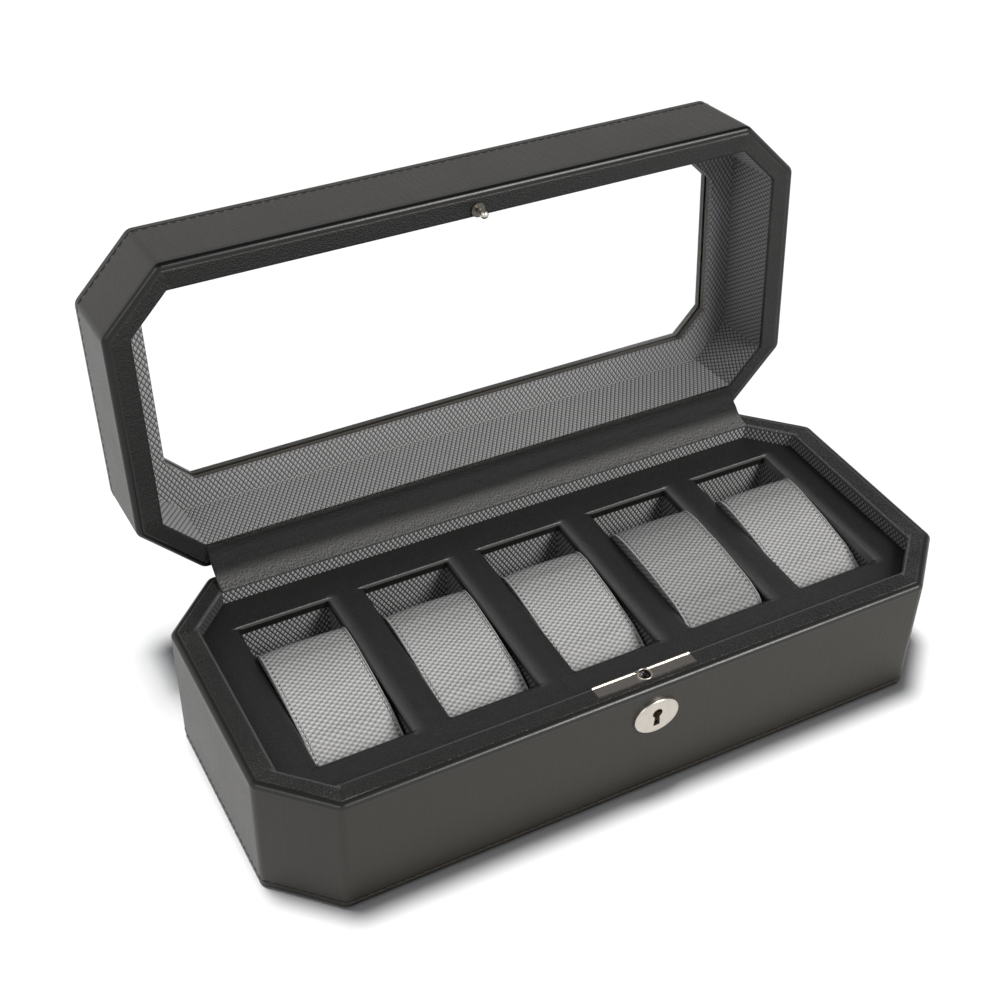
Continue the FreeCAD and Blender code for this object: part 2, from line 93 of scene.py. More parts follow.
length = kind_of(FloatProperty, min=0.0, unit="LENGTH", precision=5)
share = kind_of(FloatProperty, min=0.0, max=1.0, subtype="FACTOR")
strength = kind_of(FloatProperty, min=0.0)
power = kind_of(FloatProperty, min=0.0, unit="POWER")
angle = kind_of(FloatProperty, subtype="ANGLE")
focal_length = kind_of(FloatProperty, subtype="DISTANCE_CAMERA")
colour = kind_of(FloatVectorProperty, min=0.0, max=1.0, size=3, subtype="COLOR")
position = kind_of(FloatVectorProperty, size=3, subtype="TRANSLATION")
rotation = kind_of(FloatVectorProperty, size=3, subtype="EULER")
number = kind_of(IntProperty, min=6)


def times(shade, *factors):
    """A colour made darker or lighter by each factor."""
    made = [[channel * factor for channel in shade] for factor in factors]
    return made if len(made) > 1 else made[0]


def lid_heights():
    """Height of the closed lid's rim and of its top."""
    heights = [(LID_CLOSES @ v.co).z for v in frame["nodes"]["lid_leather"].data.vertices]
    return min(heights), max(heights)


class LeatherSettings(PropertyGroup):
    """Sizes and colours of the leather covers."""

    case_colour: colour("Case", (0.0136, 0.0115, 0.0078), "Leather of the base and the lid")
    tray_colour: colour("Tray", (0.0108, 0.0105, 0.0100), "Leather of the tray")
    # Painted highlight on the edges of the openings.
    painted_edge_highlight: colour("Handled edges", (0.15, 0.15, 0.148), "Edges of the openings, rubbed lighter by use")
    strip_colour: colour("Strip", (0.0058, 0.0057, 0.0055), "Leather over the hinges")
    rim_colour: colour("Base rim", (0.0165, 0.0162, 0.0160), "Leather turned over the base's rim")
    # Partly painted shade: the lid rim's black leather, set darker than the walls; also the painted shade towards the
    # right of the base's rim.
    lid_rim_and_painted_shade: colour("Lid rim", (0.0015, 0.0016, 0.0020), "Leather turned over the lid's rim")
    # Painted sheen on the front of the strip.
    painted_sheen_colour: colour("Sheened strip", (0.150, 0.148, 0.142), "Front of the strip, where it is rubbed")
    # Painted highlight: a light line along the inner edge of the base's rim.
    painted_lip_highlight: colour("Lip", (0.10, 0.10, 0.10), "Inner edge of the base's rim, where it is rubbed")
    corner_cut: length("Corner cut", 0.027, "How far each corner of the case is cut off along its sides")
    corner_radius: length("Corner radius", 0.005, "Radius where two walls meet")
    rim: length("Rim", 0.012, "Width of the rims along the straight walls")
    corner_rim: length("Corner rim", 0.0102, "Width of the rims at the cut corners")
    opening_length: length("Opening length", 0.0424, "Length of an opening of the tray, along the box")
    opening_width: length("Opening width", 0.0892, "Width of an opening of the tray")
    opening_pitch: length("Opening pitch", 0.0596, "Distance from one opening to the next")
    bolster: length("Bolster", 0.0045, "Width of the padded edge round an opening")
    # Width of the painted highlight band.
    highlight_band_width: length("Handled", 0.007, "Width of the lighter band along the right edge of an opening")
    bolster_drop: length("Bolster drop", 0.0014, "How far the padded edge falls towards the opening")
    grain: length("Grain", 0.0007, "Width of a pebble of the grain")
    seam_inset: length("Base seam", 0.0042, "Distance of the base's stitched seam from its bottom edge")
    lid_seam_inset: length("Lid seam", 0.0056, "Distance of the lid's stitched seam from its top edge")


class WeaveSettings(PropertyGroup):
    """Sizes and colours of the diamond weave."""

    light: colour("Diamonds", (0.41, 0.405, 0.40), "Raised threads of the diamonds")
    dark: colour("Grooves", (0.024, 0.024, 0.027), "Ground between the diamonds")
    lid_dark: colour("Lid grooves", (0.055, 0.055, 0.06), "Ground between the diamonds in the lid")
    # Painted shade on linings that face left, and towards the right of the lid's lining.
    painted_shade_colour: colour("Nap", (0.015, 0.017, 0.024), "Shade of the cloth where its nap lies away from the light")
    corner: colour("Left corners", (0.012, 0.0115, 0.011), "Lining in the left corners of the base")
    # Partly painted light: the cuffs' shades are lighter than the lining's, so that the cloth looks lit more brightly
    # on the cuffs' tops.
    cuff_lit_diamonds: colour("Cuff diamonds", (0.70, 0.692, 0.68), "Raised threads on the cuffs")
    cuff_lit_grooves: colour("Cuff grooves", (0.25, 0.25, 0.254), "Ground between the diamonds on the cuffs")
    width: length("Diamond width", 0.00238, "Distance between diamonds in a row")
    height: length("Diamond height", 0.0037, "Distance between every second row")
    relief: length("Relief", 0.00032, "Height of a diamond above the ground")


class StitchSettings(PropertyGroup):
    """Colours and sizes of the sewn seams."""

    colour: colour("Thread", (0.026, 0.021, 0.016), "Thread on the leather")
    pitch: length("Pitch", 0.0042, "Distance from one stitch to the next")
    stitch: length("Stitch", 0.0030, "Length of one stitch")
    thickness: length("Thickness", 0.00036, "Thickness of the thread")
    cuff_colour: colour("Cuff thread", (0.05, 0.05, 0.05), "Thread on the cuffs")


class CuffSettings(PropertyGroup):
    """Shape of the stuffed cuffs."""

    around: number("Points round", 96, "Points round the band of a cuff")
    across: number("Points across", 20, "Points across the band of a cuff")
    slack: length("Slack", 0.0007, "How much smaller the cover is before it is stuffed")
    most: length("Most swelling", 0.0009, "Furthest that the stuffing moves the cover")
    shoulder: length("Shoulder", 0.0013, "How far the stuffing fills out the top near its two ends")
    # Painted shade: the cloth darkens towards the back and the front of each cuff, where its top turns away from the
    # light.
    back_fade: length("Back fade", 0.038, "Length over which the cloth darkens towards the back")
    back_shade: share("Back shade", 0.60, "How much darker the cloth is at the back")
    front_fade: length("Front fade", 0.022, "Length over which the cloth darkens towards the front")
    front_shade: share("Front shade", 0.25, "How much darker the cloth is at the front")
    pressure: strength("Pressure", 4.0, "Pressure of the stuffing")
    fill: share("Fill", 0.75, "How tightly a cuff is stuffed")
    piping: length("Piping", 0.0004, "Radius of the piping in the side seams")
    seam_inset: length("Seam inset", 0.0013, "Distance of the stitches from the piping")
    pitch: length("Stitch pitch", 0.0026, "Distance from one stitch to the next")
    stitch: length("Stitch", 0.0017, "Length of one stitch")
    thread: length("Thread", 0.00038, "Thickness of the thread")
    # Painted shade: each cuff's cloth is set lighter or darker, as the light falls along the row.
    dyes: FloatVectorProperty(name="Shades", description="How light the cloth of each cuff came out of its dye",
                              default=(1.0, 0.94, 0.91, 0.67, 0.82), size=5, min=0.0, max=1.0)


class StripSettings(PropertyGroup):
    """Shape of the leather strip over the hinges."""

    bend_start: length("Bend start", 0.0677, "Distance of the bend from the middle of the box")
    bend_radius: length("Bend radius", 0.00969, "Radius of the bend")
    thickness: length("Thickness", 0.001, "Thickness of the leather")
    wrinkles: length("Wrinkles", 0.0005, "Depth of the wrinkles in the bend")
    drape: share("Drape", 0.5, "How far the strip hangs straight from edge to edge in place of lying in the corner")
    columns: number("Columns", 188, "Faces along the strip")
    rows: number("Rows", 24, "Faces across the strip")


class LockSettings(PropertyGroup):
    """Metal of the lock and size of the eyelet."""

    nickel: colour("Nickel", (0.60, 0.553, 0.495), "Plating of the strike plate, escutcheon and stud")
    eyelet: length("Eyelet", 0.0031, "Radius of the eyelet in the strike plate")
    eyelet_wire: length("Eyelet wire", 0.00042, "Radius of the eyelet's rounded edge")


class StudioSettings(PropertyGroup):
    """Camera, lamps and floor."""

    camera_place: position("Camera", (-0.28647, -0.45634, 0.54445), "Place of the camera")
    camera_turn: rotation("Camera turn", (0.890706, -0.020023, -0.486719), "Turn of the camera")
    lens: focal_length("Lens", 57.55, "Focal length on a sensor 36 mm wide")
    floor_colour: colour("Floor", (0.90, 0.90, 0.90), "Paper that the box stands on")
    world_colour: colour("Room", (0.15, 0.154, 0.163), "Light of the room from all sides")
    lamp_colour: colour("Lamps", (1.0, 0.995, 0.985), "Light of the key lamp and the fill lamp")
    key_power: power("Key lamp", 17.0, "Lamp in front of the box, to the right and above")
    key_place: position("Key place", (0.57, -0.78, 0.95), "Place of the key lamp")
    key_size: length("Key size", 0.60, "Width of the key lamp")
    fill_power: power("Fill lamp", 2.2, "Lamp in front of the box, to the left")
    fill_place: position("Fill place", (-0.75, -0.45, 0.85), "Place of the fill lamp")
    fill_size: length("Fill size", 0.50, "Width of the fill lamp")
    floor_strength: strength("Floor lamp", 3.35, "Strength of the lamp that lights the paper alone")
    floor_lamp_place: position("Floor lamp place", (-0.05, 0.18, 1.40), "Where the lamp over the paper shines from")
    floor_lamp_angle: angle("Floor lamp angle", 0.20, "Softness of the shadow on the paper")


class WatchBoxSettings(PropertyGroup):
    """All sizes and colours of the watch box."""

    leather: PointerProperty(type=LeatherSettings, name="Leather", description="Leather covers")
    weave: PointerProperty(type=WeaveSettings, name="Weave", description="Woven linings and cuffs")
    stitches: PointerProperty(type=StitchSettings, name="Stitches", description="Seams of the leather")
    cuffs: PointerProperty(type=CuffSettings, name="Cuffs", description="Stuffed cuffs")
    strip: PointerProperty(type=StripSettings, name="Strip", description="Leather strip over the hinges")
    lock: PointerProperty(type=LockSettings, name="Lock", description="Metal of the lock")
    studio: PointerProperty(type=StudioSettings, name="Studio", description="Camera, lamps and floor")


class Wire:
    """A socket of a node tree. Operators on it add Math nodes, and add() adds any other node."""

    def __init__(self, tree, socket=None):
        self.tree = tree
        self.socket = socket

    def add(self, kind, settings=None, inputs=None, output=0):
        """Adds a node, sets its settings, then its sockets, and gives one of its outputs."""
        node = self.tree.nodes.new(kind)
        for key, value in (settings or {}).items():
            setattr(node, key, value)
        for key, value in (inputs or {}).items():
            if isinstance(value, Wire):
                self.tree.links.new(value.socket, node.inputs[key])
            else:
                node.inputs[key].default_value = value
        return Wire(self.tree, node.outputs[output])

    def output(self, name):
        """Another output of the same node."""
        return Wire(self.tree, self.socket.node.outputs[name])

    def math(self, operation, *others):
        values = dict(enumerate((self, *others)))
        return self.add("ShaderNodeMath", {"operation": operation}, values)

    def __rsub__(self, other):
        return self.add("ShaderNodeMath", {"operation": "SUBTRACT"}, {0: other, 1: self})

    __add__ = __radd__ = partialmethod(math, "ADD")
    __sub__ = partialmethod(math, "SUBTRACT")
    __mul__ = __rmul__ = partialmethod(math, "MULTIPLY")
    __truediv__ = partialmethod(math, "DIVIDE")
    __lt__ = partialmethod(math, "LESS_THAN")
    __gt__ = partialmethod(math, "GREATER_THAN")
    __abs__ = partialmethod(math, "ABSOLUTE")

    def step(self, low, high):
        """Smooth rise from 0 at low to 1 at high."""
        return self.add("ShaderNodeMapRange", {"interpolation_type": "SMOOTHSTEP"},
                        {"Value": self, "From Min": low, "From Max": high})

    def split(self):
        """X, Y and Z of a vector."""
        parts = self.add("ShaderNodeSeparateXYZ", None, {"Vector": self})
        return parts, parts.output("Y"), parts.output("Z")

    def join(self, x, y, z):
        return self.add("ShaderNodeCombineXYZ", None, {"X": x, "Y": y, "Z": z})

    def noise(self, point, scale, detail=2.0, rough=0.5):
        return self.add("ShaderNodeTexNoise", None,
                        {"Vector": point, "Scale": scale, "Detail": detail, "Roughness": rough})

    def pebbles(self, point, scale):
        return self.add("ShaderNodeTexVoronoi", {"feature": "F1"}, {"Vector": point, "Scale": scale})

    def mix(self, factor, first, second):
        """Mix of two colours."""
        first, second = [(*c, 1.0) if isinstance(c, (tuple, list)) or hasattr(c, "hsv") else c
                         for c in (first, second)]
        return self.add("ShaderNodeMix", {"data_type": "RGBA", "clamp_factor": True},
                        {0: factor, 6: first, 7: second}, 2)

    def bump(self, height):
        """Bump from a height in millimetres."""
        return self.add("ShaderNodeBump", None, {"Strength": 1.0, "Distance": 0.001, "Height": height})


def new_material(name, draw, **fixed):
    """A material whose changing inputs come from draw(wire), with fixed values on its shader."""
    made = bpy.data.materials.new(name)
    made.use_nodes = True
    tree = made.node_tree
    tree.nodes.clear()
    shader = tree.nodes.new("ShaderNodeBsdfPrincipled")
    out = tree.nodes.new("ShaderNodeOutputMaterial")
    tree.links.new(shader.outputs[0], out.inputs["Surface"])
    for key, value in fixed.items():
        shader.inputs[key.replace("_", " ")].default_value = value
    for key, value in draw(Wire(tree)).items():
        tree.links.new(value.socket, shader.inputs[key])
    return made


def dress(node, material):
    """Gives a material to a node of the frame."""
    data = frame["nodes"][node].data
    data.materials.clear()
    data.materials.append(material)


def place_in_mm(wire, closed_lid=False):
    """Object coordinates in millimetres. On the lid they are turned back to the closed lid."""
    point = wire.add("ShaderNodeTexCoord", output="Object")
    turn = {"Scale": (1000.0, 1000.0, 1000.0)}
    if closed_lid:
        turn["Location"] = LID_CLOSES.to_translation() * 1000.0
        turn["Rotation"] = (OPEN_ANGLE, 0.0, 0.0)
    return wire.add("ShaderNodeMapping", {"vector_type": "POINT"}, {"Vector": point, **turn})


def round_the_case(point, corner_cut):
    """Place along the nearest wall of the case, depth in from it, distance from a mitre, and 1 on a cut corner."""
    x, y, _ = point.split()
    half_x, half_y = CASE_HIGH[0] * 1000.0, CASE_HIGH[1] * 1000.0
    far_x, far_y = abs(x), abs(y)
    end, side = half_x - far_x, half_y - far_y
    cut = (half_x + half_y - corner_cut * 1000.0 - far_x - far_y) * math.sqrt(0.5)
    on_end = end < side.math("MINIMUM", cut)
    on_side = side < end.math("MINIMUM", cut)
    on_cut = 1.0 - on_end - on_side
    along = on_end * y + on_side * x + on_cut * (far_x - far_y) * math.sqrt(0.5)
    depth = end.math("MINIMUM", side).math("MINIMUM", cut)
    mitre = abs(cut - end.math("MINIMUM", side))
    return along, depth, mitre, on_cut


def case_leather(settings, name, seam_at, rim_at, rim_colour, closed_lid):
    """Satin leather drawn over the case: fine grain, rim wrinkles, folded mitres and a stitched groove."""
    def draw(wire):
        point = place_in_mm(wire, closed_lid)
        along, depth, mitre, on_cut = round_the_case(point, settings.corner_cut)
        x, _, z = point.split()
        rim, narrower = settings.rim * 1000.0, (settings.rim - settings.corner_rim) * 1000.0
        grain = wire.pebbles(point, 0.001 / settings.grain)
        tone = wire.noise(point, 0.035, 3.0)
        drawn = wire.noise(wire.join(along * 0.62, depth * 0.05, z * 0.018), 1.0, 3.0, 0.6)
        pleats = wire.noise(wire.join(along * 0.33, depth * 0.06, z * 0.05), 1.0, 1.0)
        by_rim = 1.0 - abs(z - rim_at * 1000.0).step(2.5, 4.5)
        on_rim = depth.step(2.6, 4.0) * (1.0 - depth.step(rim - 1.0, rim + 0.5)) * by_rim
        near_mitre = 1.0 - mitre.step(0.0, 16.0)
        edge = (1.0 - depth.step(2.5, 3.8)) * by_rim
        fold = (1.0 - mitre.step(0.15, 1.1)) * on_rim
        seam = 1.0 - abs(z - seam_at * 1000.0).step(0.15, 0.9)
        creases = wire.noise(wire.join(along * 1.5, depth * 0.25, z * 0.25), 1.0, 3.0, 0.7)
        height = ((grain * (0.045 + on_rim * 0.28) + drawn * 0.10) * (1.0 - edge * 0.9) - fold * 0.12 - seam * 0.30
                  + on_rim * (creases * (0.26 + near_mitre * 0.40) + pleats * near_mitre * 0.30))
        worn = wire.mix(tone.step(0.35, 0.7) * 0.5, settings.case_colour, times(settings.case_colour, 1.35))
        worn = wire.mix(on_rim.math("MAXIMUM", edge), worn, rim_colour)
        if not closed_lid:
            # Painted shade: the base's rim turns darker towards the right, in the lid rim's colour.
            worn = wire.mix(on_rim * x.step(*RIM_PAINTED_SHADE) * 0.8, worn, settings.lid_rim_and_painted_shade)
            # Painted highlight: a light line along the rim's inner edge.
            lip_highlight = (depth + on_cut * narrower).step(rim - 1.5, rim - 0.8) * on_rim.math("CEIL")
            worn = wire.mix(lip_highlight * 0.7, worn, settings.painted_lip_highlight)
        # Painted shade: darker in the stitched groove and along the folds at the mitres.
        shade = wire.mix(seam * 0.6 + fold * 0.4, worn, times(settings.case_colour, 0.3))
        rough = 0.31 + grain * 0.10 + tone * 0.08 + on_rim * (0.10 if closed_lid else -0.05) - edge * 0.09
        return {"Base Color": shade, "Roughness": rough, "Normal": wire.bump(height)}

    return new_material(name, draw, Specular_IOR_Level=0.38, Specular_Tint=(1.0, 0.985, 0.945, 1.0))


def tray_leather(settings):
    """Nearly plain leather of the tray, padded round its openings, with a painted highlight along the right and the
    back edges of each opening.
    """
    def draw(wire):
        point = place_in_mm(wire)
        x, y, _ = point.split()
        pitch = settings.opening_pitch * 1000.0
        reach = (len(CUFFS) - 1) / 2.0 * pitch
        from_middle = x.math("PINGPONG", pitch / 2.0).math("MAXIMUM", abs(x) - reach)
        beside = (from_middle - settings.opening_length * 500.0).math("MAXIMUM", 0.0)
        beyond = (abs(y) - settings.opening_width * 500.0).math("MAXIMUM", 0.0)
        away = (beside * beside + beyond * beyond * 9.0).math("SQRT")
        edge = (1.0 - away / (settings.bolster * 1000.0)).math("MAXIMUM", 0.0)
        grain = wire.pebbles(point, 0.0013 / settings.grain)
        tone = wire.noise(point, 0.03, 2.0)
        shade = wire.mix(tone.step(0.3, 0.75) * 0.4, settings.tray_colour, times(settings.tray_colour, 1.3))
        # Painted highlight: a lighter band along the right edge of each opening and a thin light line along its back
        # edge.
        band = (1.0 - beside / (settings.highlight_band_width * 1000.0)).math("MAXIMUM", 0.0)
        band = band * (beside > 0.0) * (1.0 - beyond.step(0.0, 4.0))
        band = band * band * (x.math("WRAP", pitch / 2.0, pitch / -2.0) > 0.0)
        back_edge_highlight = (beyond > 0.0) * (1.0 - beyond.step(0.7, 1.3)) * (y > 0.0) * (beside < 0.3)
        shade = wire.mix((band * 0.7).math("MAXIMUM", back_edge_highlight * 0.8), shade, settings.painted_edge_highlight)
        height = (grain * 0.28 * (1.0 - edge * 0.8) + wire.noise(point, 0.09, 2.0) * 0.25
                  - edge * edge * settings.bolster_drop * 1000.0)
        return {"Base Color": shade, "Roughness": 0.31 + grain * 0.14 - edge * 0.06, "Normal": wire.bump(height)}

    return new_material("tray_leather", draw, Specular_IOR_Level=0.5)


def strip_leather(settings):
    """Softer leather with a coarser grain, creased along the hinges, with a painted sheen along its front and a little
    lighter on the creases.
    """
    def draw(wire):
        point = place_in_mm(wire)
        x, y, z = point.split()
        grain = wire.pebbles(point, 0.0007 / settings.grain)
        fine = wire.noise(point, 1.8, 2.0)
        creases = wire.noise(wire.join(x * 0.10, y * 0.9, z * 0.9), 1.0, 4.0, 0.65)
        # Painted sheen: the front of the strip is lighter, and the creases a little lighter too.
        sheened = 1.0 - y.step(*STRIP_PAINTED_SHEEN_ENDS)
        shade = wire.mix(creases.step(0.5, 0.8) * 0.04 + sheened * 0.8, settings.strip_colour,
                         settings.painted_sheen_colour)
        height = grain * (0.20 + sheened * 0.60) + fine * 0.12 + creases * 0.20
        rough = 0.60 + grain * 0.15 - sheened * 0.24
        return {"Base Color": shade, "Roughness": rough, "Normal": wire.bump(height)}

    return new_material("strip_leather", draw, Specular_IOR_Level=0.26)


def woven(wire, weave, across, along, light, dark, soft=False, groove=0.18):
    """Diamond weave on a flat (across, along) in millimetres: colour and height. Soft cloth lies the other way."""
    width, height = weave.width * 1000.0, weave.height * 1000.0
    if soft:
        width, height = height, width
    rise = across / width + along / height
    fall = across / width - along / height
    to_rise, to_fall = rise.math("PINGPONG", 0.5), fall.math("PINGPONG", 0.5)
    if soft:
        thread = (to_rise + to_fall).step(0.12, 0.74)
    else:
        thread = to_rise.step(0.03, groove) * to_fall.step(0.03, groove)
    dome = to_rise.step(0.0, 0.34) * to_fall.step(0.0, 0.34)
    flat = wire.join(across, along, 0.0)
    fibres = wire.noise(flat, 3.2, 2.0, 0.6)
    wear = wire.noise(flat, 0.06, 2.0)
    lighter = wire.mix(fibres.step(0.25, 0.75), times(light, 0.80), light)
    worn = wire.mix(wear.step(0.3, 0.7) * 0.25, lighter, times(light, 0.82))
    shade = wire.mix(thread, dark, worn)
    return shade, dome * weave.relief * 1000.0 + fibres * 0.05


def lining_weave(weave, name, dark, closed_lid=False):
    """Weave on the flat linings, laid along each wall and along the length on level faces, with a painted shade on
    walls that face left and, in the lid, towards the right.
    """
    def draw(wire):
        point = place_in_mm(wire, closed_lid)
        normal = wire.add("ShaderNodeTexCoord", output="Normal")
        if closed_lid:
            normal = wire.add("ShaderNodeMapping", {"vector_type": "NORMAL"},
                              {"Vector": normal, "Rotation": (OPEN_ANGLE, 0.0, 0.0)})
        x, y, z = point.split()
        facing, _, upward = normal.split()
        level = abs(upward) > 0.6
        sideways = wire.add("ShaderNodeVectorMath", {"operation": "CROSS_PRODUCT"},
                            {0: (0.0, 0.0, 1.0), 1: normal})
        along_wall = wire.add("ShaderNodeVectorMath", {"operation": "DOT_PRODUCT"},
                              {0: point, 1: sideways}, "Value")
        across = level * x + (1.0 - level) * along_wall
        along = level * y + (1.0 - level) * z
        shade, height = woven(wire, weave, across, along, weave.light, dark, groove=0.18 if closed_lid else 0.25)
        # Painted shade: walls that face left, and the lid's lining towards the right, are darker.
        painted_shade = (facing * -1.0).step(0.4, 0.9)
        if closed_lid:
            painted_shade = painted_shade.math("MAXIMUM", x.step(*LID_LINING_PAINTED_SHADE) * 0.9)
        else:
            in_left_corner = (facing > 0.5) * (facing < 0.9)
            shade = wire.mix(in_left_corner * 0.9, shade, weave.corner)
        shade = wire.mix(painted_shade, shade, wire.mix(0.4, shade, weave.painted_shade_colour))
        return {"Base Color": shade, "Normal": wire.bump(height)}

    return new_material(name, draw, Roughness=0.85, Specular_IOR_Level=0.25, Sheen_Weight=0.08)


def cuff_weave(weave):
    """Weave on the cuffs, which follows their own cut round the band, darkened by the painted shade kept on each cover.
    """
    def draw(wire):
        cut = wire.add("ShaderNodeUVMap", {"uv_map": "cut"})
        u, v, _ = cut.split()
        shade, height = woven(wire, weave, u * 1000.0, v * 1000.0, weave.cuff_lit_diamonds, weave.cuff_lit_grooves, soft=True)
        dye = wire.add("ShaderNodeAttribute", {"attribute_name": "dye"}, output="Fac")
        return {"Base Color": wire.mix(dye, (0.0, 0.0, 0.0), shade), "Normal": wire.bump(height)}

    return new_material("cuff_weave", draw, Roughness=0.82, Specular_IOR_Level=0.25, Sheen_Weight=0.10)


def flecked(name, dark, light, scale, relief, rough, rougher=0.0, detail=2.0, fineness=0.5, sharp=True, **fixed):
    """A plain stuff with flecks of two shades, such as thread, cloth, board, felt or paint."""
    def draw(wire):
        flecks = wire.noise(place_in_mm(wire), scale, detail, fineness)
        tint = wire.mix(flecks.step(0.3, 0.7) if sharp else flecks, dark, light)
        changing = {"Base Color": tint, "Normal": wire.bump(flecks * relief)}
        if rougher:
            changing["Roughness"] = rough + flecks * rougher
        return changing

    return new_material(name, draw, Roughness=rough, **fixed)


def sewing_thread(name, shade, lustre):
    return flecked(name, *times(shade, 0.7, 1.3), scale=4.0, relief=0.12, rough=lustre, rougher=0.2,
                   Specular_IOR_Level=0.4)


def felt(name, shade):
    return flecked(name, *times(shade, 0.6, 1.4), scale=1.6, relief=0.35, rough=0.85, rougher=0.15, detail=4.0,
                   fineness=0.75, Specular_IOR_Level=0.2, Sheen_Weight=0.2)


def plated_metal(name, shade, rough, brushed, darker_above=None):
    """Plated metal with fine polishing marks and a little tarnish, darker above a height on the closed lid."""
    def draw(wire):
        point = place_in_mm(wire, darker_above is not None)
        x, y, z = point.split()
        marks = wire.noise(wire.join(x * 0.4, y * 5.0, z * 5.0), 1.0, 2.0)
        tarnish = wire.noise(point, 0.35, 3.0)
        tint = wire.mix(tarnish.step(0.4, 0.8) * 0.5, shade, times(shade, 0.82))
        if darker_above is not None:
            tint = wire.mix(z.step(darker_above - 0.5, darker_above), tint, times(shade, 0.2))
        return {"Base Color": tint, "Roughness": rough + tarnish * 0.10 + marks * brushed,
                "Normal": wire.bump(marks * brushed * 0.05)}

    return new_material(name, draw, Metallic=1.0)


def clear_glass():
    """Clear pane: seen through, with its own gloss and a painted reflection, a pale film that shows more at a slant,
    and faint smears.
    """
    def draw(wire):
        smears = wire.noise(place_in_mm(wire), 0.05, 3.0)
        # Painted reflection: the pane's pale colour shows more at a slant, through its alpha.
        slant = wire.add("ShaderNodeFresnel", None, {"IOR": 1.5})
        return {"Alpha": 0.004 + slant * 0.12, "Roughness": 0.02 + smears.step(0.5, 0.9) * 0.05}

    return new_material("clear_glass", draw, Base_Color=(0.93, 0.96, 0.96, 1.0), Specular_IOR_Level=1.0)


def new_piece(name, points, faces, edges=()):
    """A mesh object at the origin, in the scene."""
    mesh = bpy.data.meshes.new(name)
    mesh.from_pydata(points, edges, faces)
    piece = bpy.data.objects.new(name, mesh)
    bpy.context.scene.collection.objects.link(piece)
    return piece


def shade_smooth(piece):
    piece.data.polygons.foreach_set("use_smooth", [True] * len(piece.data.polygons))


def make_finer(piece):
    """One step of subdivision."""
    finer = piece.modifiers.new("Finer", "SUBSURF")
    finer.levels = finer.render_levels = 1


def settle(piece):
    """Keeps what a piece's modifiers make as its own mesh."""
    bpy.context.view_layer.update()
    graph = bpy.context.evaluated_depsgraph_get()
    made = bpy.data.meshes.new_from_object(piece.evaluated_get(graph), depsgraph=graph)
    if not made.polygons:
        raise RuntimeError(f"{piece.name}: its modifiers made no faces")
    piece.modifiers.clear()
    before, piece.data = piece.data, made
    made.name = piece.name
    bpy.data.meshes.remove(before)


def node_tree(name, inputs):
    """A new Geometry Nodes tree with a mesh in and out, and named inputs. Gives the tree and its inputs."""
    tree = bpy.data.node_groups.new(name, "GeometryNodeTree")
    tree.interface.new_socket("Line", in_out="INPUT", socket_type="NodeSocketGeometry")
    for key, kind in inputs.items():
        tree.interface.new_socket(key, in_out="INPUT", socket_type="NodeSocket" + kind)
    tree.interface.new_socket("Mesh", in_out="OUTPUT", socket_type="NodeSocketGeometry")
    given = tree.nodes.new("NodeGroupInput")
    return tree, {socket.name: Wire(tree, socket) for socket in given.outputs if socket.name}


def end_tree(tree, shape, finish):
    """Ends a tree in Realize Instances, smooth faces and Set Material."""
    real = shape.add("GeometryNodeRealizeInstances", None, {"Geometry": shape})
    smooth = shape.add("GeometryNodeSetShadeSmooth", None, {"Geometry": real})
    done = shape.add("GeometryNodeSetMaterial", None, {"Geometry": smooth, "Material": finish})
    out = tree.nodes.new("NodeGroupOutput")
    tree.links.new(done.socket, out.inputs["Mesh"])
    return tree


def stitch_tree():
    """Stitches set along a line."""
    tree, given = node_tree("Stitches", {"Pitch": "Float", "Stitch": "Float", "Thickness": "Float",
                                         "Thread": "Material"})
    line = given["Line"]
    curve = line.add("GeometryNodeMeshToCurve", None, {"Mesh": line})
    holes = line.add("GeometryNodeCurveToPoints", {"mode": "LENGTH"}, {"Curve": curve, "Length": given["Pitch"]})
    ball = line.add("GeometryNodeMeshUVSphere", None, {"Segments": 8, "Rings": 6, "Radius": 0.5})
    size = line.join(given["Stitch"], given["Thickness"], given["Thickness"])
    stitch = line.add("GeometryNodeTransform", None, {"Geometry": ball, "Scale": size})
    turn = line.add("FunctionNodeAlignRotationToVector", {"axis": "X"}, {"Vector": holes.output("Tangent")})
    uneven = line.add("FunctionNodeRandomValue", {"data_type": "FLOAT"},
                      {"Min": 0.92, "Max": 1.06, "Seed": 7}, "Value")
    uneven = next(Wire(tree, s) for s in uneven.socket.node.outputs if s.enabled)
    row = line.add("GeometryNodeInstanceOnPoints", None,
                   {"Points": holes, "Instance": stitch, "Rotation": turn,
                    "Scale": line.join(uneven, 1.0, 1.0)})
    return end_tree(tree, row, given["Thread"])


def piping_tree():
    """Round piping swept along a line."""
    tree, given = node_tree("Piping", {"Radius": "Float", "Cloth": "Material"})
    line = given["Line"]
    curve = line.add("GeometryNodeMeshToCurve", None, {"Mesh": line})
    even = line.add("GeometryNodeResampleCurve", {"mode": "LENGTH"}, {"Curve": curve, "Length": 0.0012})
    ring = line.add("GeometryNodeCurvePrimitiveCircle", None, {"Resolution": 8, "Radius": given["Radius"]})
    tube = line.add("GeometryNodeCurveToMesh", None, {"Curve": even, "Profile Curve": ring})
    return end_tree(tree, tube, given["Cloth"])


